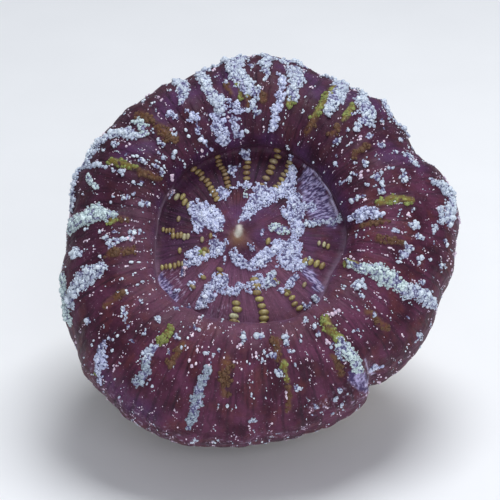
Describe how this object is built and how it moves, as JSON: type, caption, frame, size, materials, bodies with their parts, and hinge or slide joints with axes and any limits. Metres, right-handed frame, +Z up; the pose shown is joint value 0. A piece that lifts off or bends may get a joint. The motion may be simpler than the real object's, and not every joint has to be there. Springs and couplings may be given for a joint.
{
  "type": "acan coral",
  "caption": "Single fleshy coral polyp: a thick ribbed ring round a sunken oral disc, leaning back on a short stony stalk cut off flat to rest on.",
  "frame": {"origin": "centre of the bounding box in plan, on the plane of the flat cut it rests on", "axes": "+Z up, away from the cut; -Y towards the viewer, the way the oral disc faces, leaning back; +X to the viewer's right"},
  "size_m": [0.0706, 0.071, 0.0637],
  "materials": {
    "coral_flesh": "satin"
  },
  "bodies": {
    "root": {"acan_polyp": "coral_flesh"}
  },
  "joints": []
}
